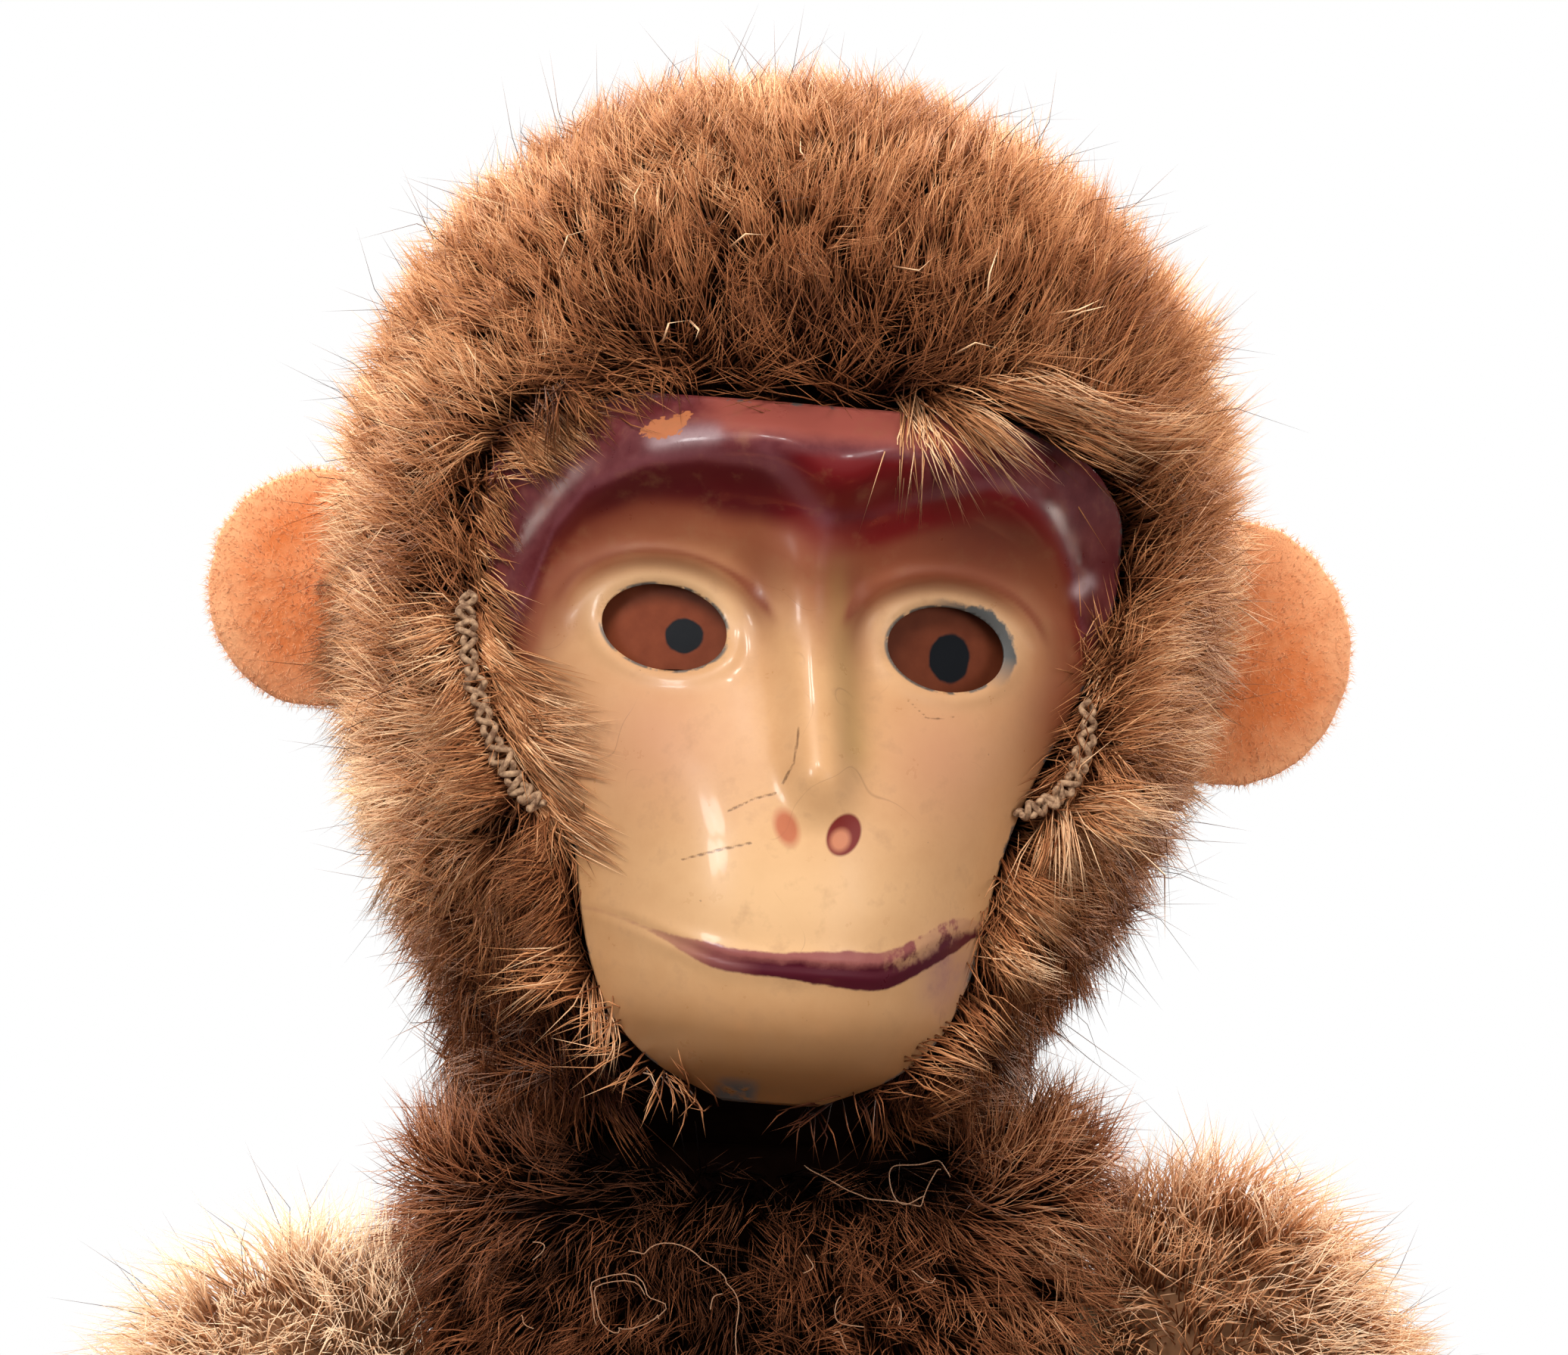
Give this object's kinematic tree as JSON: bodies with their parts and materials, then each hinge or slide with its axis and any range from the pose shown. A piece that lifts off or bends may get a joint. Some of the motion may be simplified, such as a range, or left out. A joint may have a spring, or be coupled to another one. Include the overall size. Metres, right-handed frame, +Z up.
{
  "type": "yes-no stuffed monkey",
  "caption": "Seated plush monkey with a pressed tin face, disc-jointed limbs and a tail that turns and nods its head.",
  "frame": {"origin": "on the upright axis that the head and tail turn about, at the flat seat under the body", "axes": "+Z up, -Y the way the face looks, +X to the right of someone facing the monkey"},
  "size_m": [0.1708, 0.2267, 0.1878],
  "materials": {
    "mohair": "matte pile",
    "orange_felt": "matte felt",
    "tin_paint": "gloss, worn",
    "eye_paint": "matte",
    "steel": "dull",
    "fibre_board": "matte",
    "wood": "plain"
  },
  "bodies": {
    "body": {"body": "mohair", "base_bearing": "wood", "neck_plate": "fibre_board", "arm_left_body_disc": "fibre_board", "arm_left_pin": "steel", "arm_right_body_disc": "fibre_board", "arm_right_pin": "steel", "leg_left_body_disc": "fibre_board", "leg_left_pin": "steel", "leg_right_body_disc": "fibre_board", "leg_right_pin": "steel"},
    "yoke": {"yoke_foot": "steel", "turntable": "steel", "yoke_strip_left": "steel", "yoke_strip_right": "steel", "nod_pin": "steel", "tail_pin": "steel"},
    "head": {"head": "mohair", "face_mask": "tin_paint", "eye_left": "eye_paint", "eye_right": "eye_paint", "ear_left": "orange_felt", "ear_right": "orange_felt", "head_rocker": "steel", "head_board": "wood"},
    "rod": {"push_rod": "steel"},
    "tail": {"tail_lever": "steel", "tail_wire": "steel", "tail": "mohair"},
    "arm_left": {"arm_left": "mohair", "hand_left": "orange_felt", "arm_left_disc": "fibre_board"},
    "arm_right": {"arm_right": "mohair", "hand_right": "orange_felt", "arm_right_disc": "fibre_board"},
    "leg_left": {"leg_left": "mohair", "foot_left": "orange_felt", "leg_left_disc": "fibre_board"},
    "leg_right": {"leg_right": "mohair", "foot_right": "orange_felt", "leg_right_disc": "fibre_board"}
  },
  "joints": [
    {"name": "head_turn", "type": "hinge", "parent": "body", "child": "yoke", "pos_m": [0, 0, 0.0233], "axis": [0, 0, 1], "range_deg": [-28, 28]},
    {"name": "head_nod", "type": "hinge", "parent": "yoke", "child": "head", "pos_m": [0, 0, 0.132], "axis": [1, 0, 0], "range_deg": [-14, 14]},
    {"name": "tail_lift", "type": "hinge", "parent": "yoke", "child": "tail", "pos_m": [0, 0, 0.04], "axis": [1, 0, 0], "range_deg": [-14, 14]},
    {"name": "rod_slide", "type": "slide", "parent": "yoke", "child": "rod", "axis": [0, 0, 1], "range_m": [-0.0018, 0.0018]},
    {"name": "arm_left_swing", "type": "hinge", "parent": "body", "child": "arm_left", "pos_m": [-0.026, 0, 0.088], "axis": [-1, 0, 0], "range_deg": [-70, 150]},
    {"name": "arm_right_swing", "type": "hinge", "parent": "body", "child": "arm_right", "pos_m": [0.026, 0, 0.0925], "axis": [-1, 0, 0], "range_deg": [-70, 150]},
    {"name": "leg_left_swing", "type": "hinge", "parent": "body", "child": "leg_left", "pos_m": [-0.026, -0.002, 0.024], "axis": [-1, 0, 0], "range_deg": [-85, 20]},
    {"name": "leg_right_swing", "type": "hinge", "parent": "body", "child": "leg_right", "pos_m": [0.026, -0.002, 0.024], "axis": [-1, 0, 0], "range_deg": [-85, 20]}
  ],
  "couplings": [
    {"joint": "tail_lift", "follows": "head_nod", "ratio": 1},
    {"joint": "rod_slide", "follows": "head_nod", "m_per_rad": 0.007}
  ]
}
